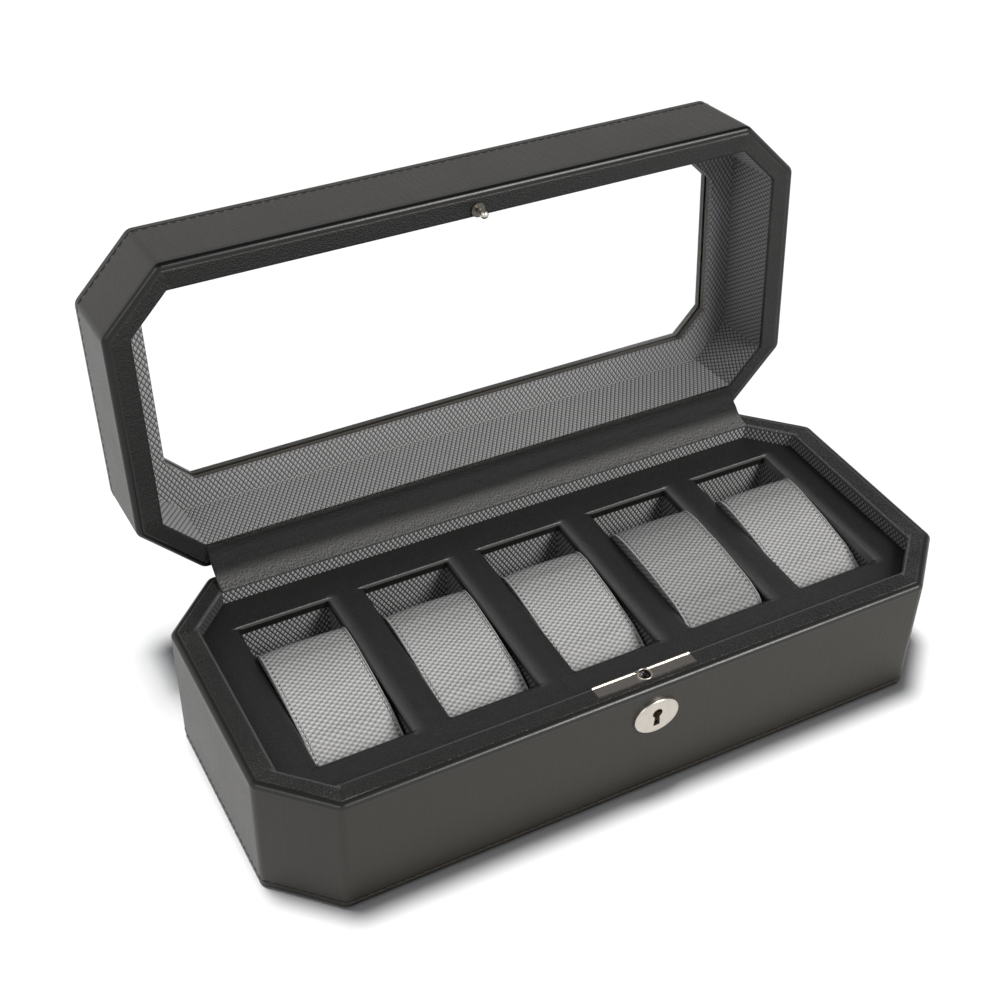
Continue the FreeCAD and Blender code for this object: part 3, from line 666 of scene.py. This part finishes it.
def grow(name, lines, tree, values):
    """Runs a Geometry Nodes tree on closed lines and keeps its result as a plain mesh object."""
    points, edges = [], []
    for line in lines:
        first = len(points)
        points += line
        edges += [(first + i, first + (i + 1) % len(line)) for i in range(len(line))]
    piece = new_piece(name, points, (), edges)
    maker = piece.modifiers.new("Make", "NODES")
    maker.node_group = tree
    for socket in tree.interface.items_tree:
        if socket.item_type == "SOCKET" and socket.in_out == "INPUT" and socket.name in values:
            maker[socket.identifier] = values[socket.name]
    settle(piece)
    return piece


def case_outline(leather, proud):
    """Points round the case's walls, with rounded corners, standing proud of the leather."""
    half_x, half_y = CASE_HIGH[0] + proud, CASE_HIGH[1] + proud
    cut = leather.corner_cut + proud * (2.0 - math.sqrt(2.0))
    corners = [Vector(p) for p in (
        (half_x, half_y - cut), (half_x - cut, half_y), (cut - half_x, half_y), (-half_x, half_y - cut),
        (-half_x, cut - half_y), (cut - half_x, -half_y), (half_x - cut, -half_y), (half_x, cut - half_y))]
    radius = leather.corner_radius + proud
    points = []
    for i, corner in enumerate(corners):
        before, after = (corners[i - 1] - corner).normalized(), (corners[(i + 1) % 8] - corner).normalized()
        half_turn = before.angle(after) / 2.0
        inward = (before + after).normalized()
        centre = corner + inward * radius / math.sin(half_turn)
        start = math.atan2(-inward.y, -inward.x)
        sweep = math.pi / 2.0 - half_turn
        points += [centre + radius * Vector((math.cos(start + sweep * t), math.sin(start + sweep * t)))
                   for t in (-1.0, -0.5, 0.0, 0.5, 1.0)]
    return points


def cut_outline(node, x, centre=None):
    """Angles and radii, round its middle, of the outline where a plane at x cuts a node."""
    work = bmesh.new()
    work.from_mesh(frame["nodes"][node].data)
    bmesh.ops.remove_doubles(work, verts=work.verts, dist=1e-6)
    found = bmesh.ops.bisect_plane(work, geom=work.verts[:] + work.edges[:] + work.faces[:],
                                   plane_co=(x, 0.0, 0.0), plane_no=(1.0, 0.0, 0.0))
    cut = np.array([v.co[1:3] for v in found["geom_cut"] if isinstance(v, bmesh.types.BMVert)])
    work.free()
    if centre is None:
        centre = (cut.min(axis=0) + cut.max(axis=0)) / 2.0
    spokes = cut - centre
    angles = np.arctan2(spokes[:, 1], spokes[:, 0])
    order = np.argsort(angles)
    return centre, angles[order], np.linalg.norm(spokes, axis=1)[order]


# Where the stuffing fills out a cuff, in degrees round its middle, and how widely.
SHOULDERS, SHOULDER_SPREAD = (142.0, 42.0), 15.0


def cuff_cover(node, cuffs):
    """The sewn cover of a cuff before it is stuffed: a band round it and two side panels, with its cut as a UV map."""
    low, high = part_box(node)
    middle, half = (low[0] + high[0]) / 2.0, (high[0] - low[0]) / 2.0
    centre, angles, radii = cut_outline(node, middle)
    _, side_angles, side_radii = cut_outline(node, middle + half - 0.0001, centre)
    fine = np.linspace(-math.pi, math.pi, 1441)
    radius = np.interp(fine, angles, radii, period=2.0 * math.pi)
    loop = np.stack([np.cos(fine), np.sin(fine)], axis=1) * radius[:, None]
    run = np.concatenate([[0.0], np.cumsum(np.linalg.norm(np.diff(loop, axis=0), axis=1))])
    turns = np.interp(np.linspace(0.0, run[-1], cuffs.around + 1)[:-1], run, fine)
    spokes = np.stack([np.cos(turns), np.sin(turns)], axis=1)
    crown = np.interp(turns, angles, radii, period=2.0 * math.pi)
    edge = np.interp(turns, side_angles, side_radii, period=2.0 * math.pi)
    shoulders = cuffs.shoulder * sum(np.exp(-((np.degrees(turns) - at) / SHOULDER_SPREAD) ** 2) for at in SHOULDERS)
    crown, edge = crown + shoulders, edge + shoulders
    count, rows, rings = cuffs.around, cuffs.across, 7

    points, faces, cuts = [], [], []
    even = np.linspace(-1.0, 1.0, rows + 1)
    places = np.sin(even * math.pi / 2.0) * 0.35 + even * 0.65
    for place in places:
        reach = crown + (edge - crown) * abs(place) ** 3 - cuffs.slack * (1.0 - abs(place) ** 4)
        for spoke, r in zip(spokes, reach):
            points.append((middle + half * place, centre[0] + spoke[0] * r, centre[1] + spoke[1] * r))
    for j in range(rows):
        for i in range(count):
            k = (i + 1) % count
            faces.append((j * count + i, (j + 1) * count + i, (j + 1) * count + k, j * count + k))
            a, b = i * run[-1] / count, (i + 1) * run[-1] / count
            x0, x1 = half * places[j], half * places[j + 1]
            cuts.append(((x0, a), (x1, a), (x1, b), (x0, b)))
    for first, side in ((0, -1.0), (rows * count, 1.0)):
        outer = list(range(first, first + count))
        for ring in range(1, rings + 1):
            inner = []
            for i in range(count):
                r = edge[i] * (1.0 - ring / (rings + 0.6))
                inner.append(len(points))
                points.append((middle + half * side, centre[0] + spokes[i][0] * r, centre[1] + spokes[i][1] * r))
            for i in range(count):
                k = (i + 1) % count
                quad = (outer[i], outer[k], inner[k], inner[i])
                faces.append(quad if side < 0.0 else quad[::-1])
                cuts.append(None)
            outer = inner
        hub = len(points)
        points.append((middle + half * side, *centre))
        for i in range(count):
            fan = (outer[i], outer[(i + 1) % count], hub)
            faces.append(fan if side < 0.0 else fan[::-1])
            cuts.append(None)

    piece = new_piece(f"{node}_cushion", points, faces)
    layer = piece.data.uv_layers.new(name="cut")
    for face, cut in zip(piece.data.polygons, cuts):
        for n, corner in enumerate(face.loop_indices):
            spot = points[face.vertices[n]]
            layer.data[corner].uv = cut[n] if cut else (spot[1], spot[2])
    seams = piece.vertex_groups.new(name="seams")
    seams.add(list(range(count)) + list(range(rows * count, (rows + 1) * count)), 1.0, "REPLACE")
    return piece


STUFFING_FRAMES = 20
STUFFING = {"quality": 6, "mass": 0.02, "tension_stiffness": 12.0, "compression_stiffness": 12.0,
            "shear_stiffness": 4.0, "bending_stiffness": 0.3, "use_pressure": True, "vertex_group_mass": "seams"}


def stuff(pieces, cuffs):
    """Stuffs the covers with Cloth under pressure, held at their seams, and keeps the swollen meshes."""
    scene = bpy.context.scene
    starts = {}
    for piece in pieces:
        starts[piece] = np.array([v.co for v in piece.data.vertices])
        cloth = piece.modifiers.new("Stuffing", "CLOTH")
        for key, value in STUFFING.items():
            setattr(cloth.settings, key, value)
        cloth.settings.uniform_pressure_force = cuffs.pressure
        cloth.settings.effector_weights.gravity = 0.0
        cloth.collision_settings.use_collision = False
        cloth.point_cache.frame_start, cloth.point_cache.frame_end = 1, STUFFING_FRAMES
    for moment in range(1, STUFFING_FRAMES + 1):
        scene.frame_set(moment)
    graph = bpy.context.evaluated_depsgraph_get()
    for piece, start in starts.items():
        swollen = np.array([v.co for v in piece.evaluated_get(graph).data.vertices])
        move = swollen - start
        reach = np.linalg.norm(move, axis=1, keepdims=True)
        move *= np.minimum(1.0, cuffs.most / np.maximum(reach, 1e-9))
        piece.modifiers.clear()
        piece.data.vertices.foreach_set("co", (start + move).ravel())
        piece.data.update()
    scene.frame_set(1)


def paint_cuff_shading(cover, node, cuffs, light):
    """Keeps, as painted shade, how light each point of a cover is. It is darker towards the back and the front."""
    low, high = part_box(node)
    along = np.array([v.co.y for v in cover.data.vertices])
    back = np.clip((along - high[1] + cuffs.back_fade) / cuffs.back_fade, 0.0, 1.0)
    front = np.clip((low[1] + cuffs.front_fade - along) / cuffs.front_fade, 0.0, 1.0)
    dye = cover.data.attributes.new("dye", "FLOAT", "POINT")
    dye.data.foreach_set("value", light * (1.0 - cuffs.back_shade * back * back * (3.0 - 2.0 * back)
                                           - cuffs.front_shade * front))


def crease_seams(cover, cuffs):
    """Keeps the side seams of a cover crisp when it is made finer."""
    count, rows = cuffs.around, cuffs.across
    on_seam = set(range(count)) | set(range(rows * count, (rows + 1) * count))
    crease = cover.data.attributes.new("crease_edge", "FLOAT", "EDGE")
    for edge in cover.data.edges:
        a, b = edge.vertices
        same = (a < count) == (b < count)
        crease.data[edge.index].value = 0.8 if a in on_seam and b in on_seam and same else 0.0


def seam_lines(piece, cuffs, inset):
    """The two lines round a stuffed cuff at a distance from its side seams."""
    count, rows = cuffs.around, cuffs.across
    spots = np.array([v.co for v in piece.data.vertices[:(rows + 1) * count]]).reshape(rows + 1, count, 3)
    lines = []
    for outer, inner in ((spots[0], spots[1]), (spots[rows], spots[rows - 1])):
        gap = np.linalg.norm(inner - outer, axis=1, keepdims=True)
        lines.append([tuple(p) for p in outer + (inner - outer) * (inset / gap)])
    return lines


def hanging_line(strip):
    """The strip's line across the hinges, as points with the way they face.

    Gives the line, its length, the CAD strip's flat run and full run, its front edge and the end of its bend.
    """
    radius, bend = strip.bend_radius, math.pi - OPEN_ANGLE
    start = Vector((STRIP_LOW[1], STRIP_LOW[2] + strip.thickness))
    flat_run, arc_run = strip.bend_start - start.x, radius * bend

    def on_bend(turn):
        """Point of the bend and the way it faces, after a turn."""
        return (Vector((strip.bend_start + radius * math.sin(turn), start.y + radius * (1.0 - math.cos(turn)))),
                Vector((-math.sin(turn), math.cos(turn))))

    arc_end, end_face = on_bend(bend)
    full = flat_run + arc_run + (STRIP_HIGH[2] - arc_end.y) / math.sin(bend)

    def across(run):
        """Point of the strip's face and the way it faces, at a distance from its front edge."""
        if run <= flat_run:
            return Vector((start.x + run, start.y)), Vector((0.0, 1.0))
        if run >= flat_run + arc_run:
            return arc_end + (run - flat_run - arc_run) * Vector((math.cos(bend), math.sin(bend))), end_face
        return on_bend((run - flat_run) / radius)

    first, last = across(0.0)[0], across(full)[0]
    hang = []
    for j in range(strip.rows + 1):
        part = j / strip.rows
        spot, face = across(full * part)
        chord = first + (last - first) * part
        hang.append((spot.lerp(chord, strip.drape * math.sin(math.pi * part) ** 0.8), face))
    width = sum((b[0] - a[0]).length for a, b in zip(hang, hang[1:]))
    return hang, width, flat_run, full, start, arc_end


class WATCHBOX_OT_case(Operator):
    """Dress the leather covers of the base, the lid and the tray"""

    bl_idname = "watchbox.case"
    bl_label = "Leather covers"

    def execute(self, context):
        leather = context.scene.watch_box.leather
        lid_rim, lid_top = lid_heights()
        dress("base_leather", case_leather(leather, "base_leather", leather.seam_inset, CASE_HIGH[2],
                                           leather.rim_colour, closed_lid=False))
        # The lid's rim takes its near-black colour, partly painted shade.
        dress("lid_leather", case_leather(leather, "lid_leather", lid_top - leather.lid_seam_inset, lid_rim,
                                          leather.lid_rim_and_painted_shade, closed_lid=True))
        dress("tray_leather", tray_leather(leather))
        return {"FINISHED"}


class WATCHBOX_OT_seams(Operator):
    """Sew the seams near the bottom of the base and the top of the lid"""

    bl_idname = "watchbox.seams"
    bl_label = "Leather seams"

    def execute(self, context):
        settings = context.scene.watch_box
        tree = stitch_tree()
        thread = sewing_thread("black_thread", settings.stitches.colour, 0.45)
        lid_top = lid_heights()[1]
        outline = case_outline(settings.leather, 0.0)
        values = {"Pitch": settings.stitches.pitch, "Stitch": settings.stitches.stitch,
                  "Thickness": settings.stitches.thickness, "Thread": thread}
        for body, height, turn in (("base", settings.leather.seam_inset, Matrix.Identity(4)),
                                   ("lid", lid_top - settings.leather.lid_seam_inset, LID_OPENS)):
            line = [tuple(turn @ Vector((p.x, p.y, height))) for p in outline]
            piece = grow(f"{body}_stitches", [line], tree, values)
            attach(piece, body)
        return {"FINISHED"}


class WATCHBOX_OT_linings(Operator):
    """Dress the woven linings of the base, the wells, the lid and the window"""

    bl_idname = "watchbox.linings"
    bl_label = "Woven linings"

    def execute(self, context):
        weave = context.scene.watch_box.weave
        base = lining_weave(weave, "base_weave", weave.dark)
        lid = lining_weave(weave, "lid_weave", weave.lid_dark, closed_lid=True)
        for node, cloth in (("base_lining", base), ("well_linings", base), ("lid_lining", lid), ("window_lining", lid)):
            dress(node, cloth)
        return {"FINISHED"}


class WATCHBOX_OT_cuffs(Operator):
    """Sew and stuff the cuffs, with piping and stitches in their side seams"""

    bl_idname = "watchbox.cuffs"
    bl_label = "Stuffed cuffs"

    def execute(self, context):
        settings = context.scene.watch_box
        cuffs = settings.cuffs
        cloth = cuff_weave(settings.weave)
        cord = flecked("cuff_piping", *times(settings.weave.light, 0.65, 1.15), scale=2.2, relief=0.25, rough=0.8,
                       Specular_IOR_Level=0.25)
        thread = sewing_thread("grey_thread", settings.stitches.cuff_colour, 0.6)
        stitches, piping = stitch_tree(), piping_tree()
        covers = [cuff_cover(node, cuffs) for node in CUFFS]
        stuff(covers, cuffs)
        for node, cover, light in zip(CUFFS, covers, cuffs.dyes):
            cover.data.materials.append(cloth)
            paint_cuff_shading(cover, node, cuffs, light)
            trims = [
                grow(f"{node}_piping", seam_lines(cover, cuffs, 0.0), piping,
                     {"Radius": cuffs.piping, "Cloth": cord}),
                grow(f"{node}_stitches", seam_lines(cover, cuffs, cuffs.seam_inset), stitches,
                     {"Pitch": cuffs.pitch, "Stitch": cuffs.stitch, "Thickness": cuffs.thread, "Thread": thread}),
            ]
            crease_seams(cover, cuffs)
            make_finer(cover)
            shade_smooth(cover)
            for piece in (cover, *trims):
                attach(piece, node)
            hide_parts(node)
        return {"FINISHED"}


class WATCHBOX_OT_strip(Operator):
    """Lay the leather strip over the hinges, creased in its bend"""

    bl_idname = "watchbox.strip"
    bl_label = "Hinge strip"

    def execute(self, context):
        settings = context.scene.watch_box
        strip = settings.strip
        hang, width, flat_run, full, start, arc_end = hanging_line(strip)
        columns, rows = strip.columns, strip.rows
        points, faces = [], []
        for i in range(columns + 1):
            x = STRIP_LOW[0] + (STRIP_HIGH[0] - STRIP_LOW[0]) * i / columns
            ends = max(0.0, abs(x) / STRIP_HIGH[0] - 0.8) * 5.0
            for j in range(rows + 1):
                run = full * j / rows
                spot, face = hang[j]
                free = math.sin(math.pi * min(1.0, max(0.0, (run - 0.3 * flat_run) / (full - 0.6 * flat_run)))) ** 2
                long = noise.noise(Vector((x * 45.0, run * 420.0, 1.7)))
                slant = noise.noise(Vector(((x + run * 1.4) * 160.0, run * 160.0, 5.1)))
                lift = free * strip.wrinkles * (0.55 * long + (0.25 + 0.5 * ends) * slant + 0.25)
                points.append((x, spot.x + face.x * lift, spot.y + face.y * lift))
        for i in range(columns):
            for j in range(rows):
                a, b = i * (rows + 1) + j, (i + 1) * (rows + 1) + j
                faces.append((a, b, b + 1, a + 1))
        piece = new_piece("hinge_strip_leather", points, faces)
        thick = piece.modifiers.new("Thickness", "SOLIDIFY")
        thick.thickness, thick.offset = strip.thickness, -1.0
        make_finer(piece)
        settle(piece)
        piece.data.materials.append(strip_leather(settings.leather))
        shade_smooth(piece)
        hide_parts("hinge_strip")
        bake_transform(piece)
        return {"FINISHED"}


class WATCHBOX_OT_window(Operator):
    """Dress the pane and its bead"""

    bl_idname = "watchbox.window"
    bl_label = "Window"

    def execute(self, context):
        dress("glass_pane", clear_glass())
        bead = flecked("matt_bead", (0.020, 0.018, 0.015), (0.040, 0.036, 0.030), scale=2.5, relief=0.08,
                       rough=0.45, rougher=0.2, sharp=False)
        dress("glass_bead", bead)
        return {"FINISHED"}


class WATCHBOX_OT_lock(Operator):
    """Dress the strike plate, escutcheon, stud, lock case and bolt, and set the eyelet in the strike plate"""

    bl_idname = "watchbox.lock"
    bl_label = "Lock"

    def execute(self, context):
        lock = context.scene.watch_box.lock
        nickel = plated_metal("nickel", lock.nickel, 0.20, 0.10)
        steel = plated_metal("lock_steel", (0.50, 0.49, 0.47), 0.32, 0.15)
        stud = plated_metal("stud_nickel", lock.nickel, 0.20, 0.10, darker_above=lid_heights()[0] * 1000.0 - 1.5)
        for node, metal in (("strike_plate", nickel), ("escutcheon", nickel), ("catch_stud", stud),
                            ("lock_case", steel), ("lock_bolt", steel)):
            dress(node, metal)
        low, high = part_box("strike_plate")
        middle = [(a + b) / 2.0 for a, b in zip(low, high)]
        turns = [2.0 * math.pi * i / 48 for i in range(48)]
        ring = [(middle[0] + lock.eyelet * math.cos(t), middle[1] + lock.eyelet * math.sin(t), high[2] - 0.0001)
                for t in turns]
        eyelet = grow("strike_eyelet", [ring], piping_tree(), {"Radius": lock.eyelet_wire, "Cloth": nickel})
        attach(eyelet, "base")
        return {"FINISHED"}


class WATCHBOX_OT_hinges(Operator):
    """Dress the hinge leaves, pins and screws"""

    bl_idname = "watchbox.hinges"
    bl_label = "Hinges"

    def execute(self, context):
        steel = plated_metal("hinge_steel", (0.56, 0.55, 0.52), 0.28, 0.18)
        for node in frame["nodes"]:
            if node.startswith("hinge_") and node != "hinge_strip":
                dress(node, steel)
        return {"FINISHED"}


class WATCHBOX_OT_boards(Operator):
    """Dress the boards inside, the floor pads and the felt underneath"""

    bl_idname = "watchbox.boards"
    bl_label = "Boards and felt"

    def execute(self, context):
        board = flecked("fibre_board", (0.30, 0.21, 0.13), (0.50, 0.38, 0.26), scale=1.2, relief=0.12, rough=0.75,
                        rougher=0.2, detail=4.0, fineness=0.7)
        for row in frame["record"]["subparts"]:
            if row["material_slot"] == "board":
                dress(row["node"], board)
        dress("well_pads", felt("pad_felt", (0.12, 0.12, 0.13)))
        dress("base_bottom_cover", felt("bottom_felt", (0.02, 0.02, 0.02)))
        return {"FINISHED"}


class WATCHBOX_OT_stage(Operator):
    """Set the floor, the lamps, the room's light and the camera"""

    bl_idname = "watchbox.stage"
    bl_label = "Studio"

    def execute(self, context):
        scene, studio = context.scene, context.scene.watch_box.studio
        scene.view_settings.view_transform = "Standard"
        floor = new_piece("floor", [(-9, -9, 0), (9, -9, 0), (9, 9, 0), (-9, 9, 0)], [(0, 1, 2, 3)])
        floor.data.materials.append(self.paper(studio))
        key = self.lamp("key_lamp", "AREA", studio.key_place, studio.key_power, studio.lamp_colour)
        key.data.shape, key.data.size = "DISK", studio.key_size
        fill = self.lamp("fill_lamp", "AREA", studio.fill_place, studio.fill_power, studio.lamp_colour)
        fill.data.shape, fill.data.size = "DISK", studio.fill_size
        paper_lamp = self.lamp("floor_lamp", "SUN", studio.floor_lamp_place, studio.floor_strength, (1.0, 1.0, 1.0))
        paper_lamp.data.angle = studio.floor_lamp_angle
        for lamp, rule in ((key, "EXCLUDE"), (fill, "EXCLUDE"), (paper_lamp, "INCLUDE")):
            lit = bpy.data.collections.new(f"{lamp.name}_lights")
            lit.objects.link(floor)
            lit.collection_objects[0].light_linking.link_state = rule
            lamp.light_linking.receiver_collection = lit
        self.room(scene, studio)
        camera = bpy.data.cameras.new("camera")
        camera.lens, camera.sensor_width = studio.lens, 36.0
        camera.clip_start, camera.clip_end = 0.01, 50.0
        holder = bpy.data.objects.new("camera", camera)
        holder.location, holder.rotation_euler = studio.camera_place, studio.camera_turn
        scene.collection.objects.link(holder)
        scene.camera = holder
        return {"FINISHED"}

    def paper(self, studio):
        def draw(wire):
            fibres = wire.noise(place_in_mm(wire), 0.4, 2.0)
            tint = wire.mix(fibres, times(studio.floor_colour, 0.99), studio.floor_colour)
            return {"Base Color": tint}

        return new_material("paper", draw, Roughness=0.9, Specular_IOR_Level=0.1)

    def lamp(self, name, kind, spot, energy, tint):
        """A lamp that points at the middle of the box."""
        data = bpy.data.lights.new(name, kind)
        data.energy, data.color = energy, tint
        lamp = bpy.data.objects.new(name, data)
        lamp.location = spot
        lamp.rotation_euler = (Vector((0.0, 0.0, 0.06)) - Vector(spot)).to_track_quat("-Z", "Y").to_euler()
        bpy.context.scene.collection.objects.link(lamp)
        return lamp

    def room(self, scene, studio):
        world = bpy.data.worlds.new("room")
        world.use_nodes = True
        tree = world.node_tree
        tree.nodes.clear()
        wire = Wire(tree)
        side, _, up = wire.add("ShaderNodeTexCoord", output="Generated").split()
        ray = wire.add("ShaderNodeLightPath", output="Is Camera Ray")
        seen = ray.math("MAXIMUM", ray.output("Is Glossy Ray")).math("MAXIMUM", ray.output("Is Transmission Ray"))
        low = 1.0 - (up + side * 0.35).step(0.30, 0.85)
        tint = wire.mix(seen * low, studio.world_colour, (1.0, 1.0, 1.0))
        light = wire.add("ShaderNodeBackground", None, {"Color": tint, "Strength": 1.0})
        out = tree.nodes.new("ShaderNodeOutputWorld")
        tree.links.new(light.socket, out.inputs["Surface"])
        scene.world = world


OPERATORS = (WATCHBOX_OT_case, WATCHBOX_OT_seams, WATCHBOX_OT_linings, WATCHBOX_OT_cuffs, WATCHBOX_OT_strip,
             WATCHBOX_OT_window, WATCHBOX_OT_lock, WATCHBOX_OT_hinges, WATCHBOX_OT_boards, WATCHBOX_OT_stage)


class WATCHBOX_PT_panel(Panel):
    """Steps that finish the watch box"""

    bl_label = "Watch box"
    bl_idname = "WATCHBOX_PT_panel"
    bl_space_type = "VIEW_3D"
    bl_region_type = "UI"
    bl_category = "Watch box"

    def draw(self, context):
        for step in OPERATORS:
            self.layout.operator(step.bl_idname)


CLASSES = (LeatherSettings, WeaveSettings, StitchSettings, CuffSettings, StripSettings, LockSettings,
           StudioSettings, WatchBoxSettings, *OPERATORS, WATCHBOX_PT_panel)


def register():
    for each in CLASSES:
        bpy.utils.register_class(each)
    bpy.types.Scene.watch_box = PointerProperty(type=WatchBoxSettings)


def unregister():
    del bpy.types.Scene.watch_box
    for each in reversed(CLASSES):
        bpy.utils.unregister_class(each)


def main():
    register()
    for step in OPERATORS:
        group, name = step.bl_idname.split(".")
        getattr(getattr(bpy.ops, group), name)()
    bpy.context.view_layer.update()


if __name__ == "__main__":
    main()
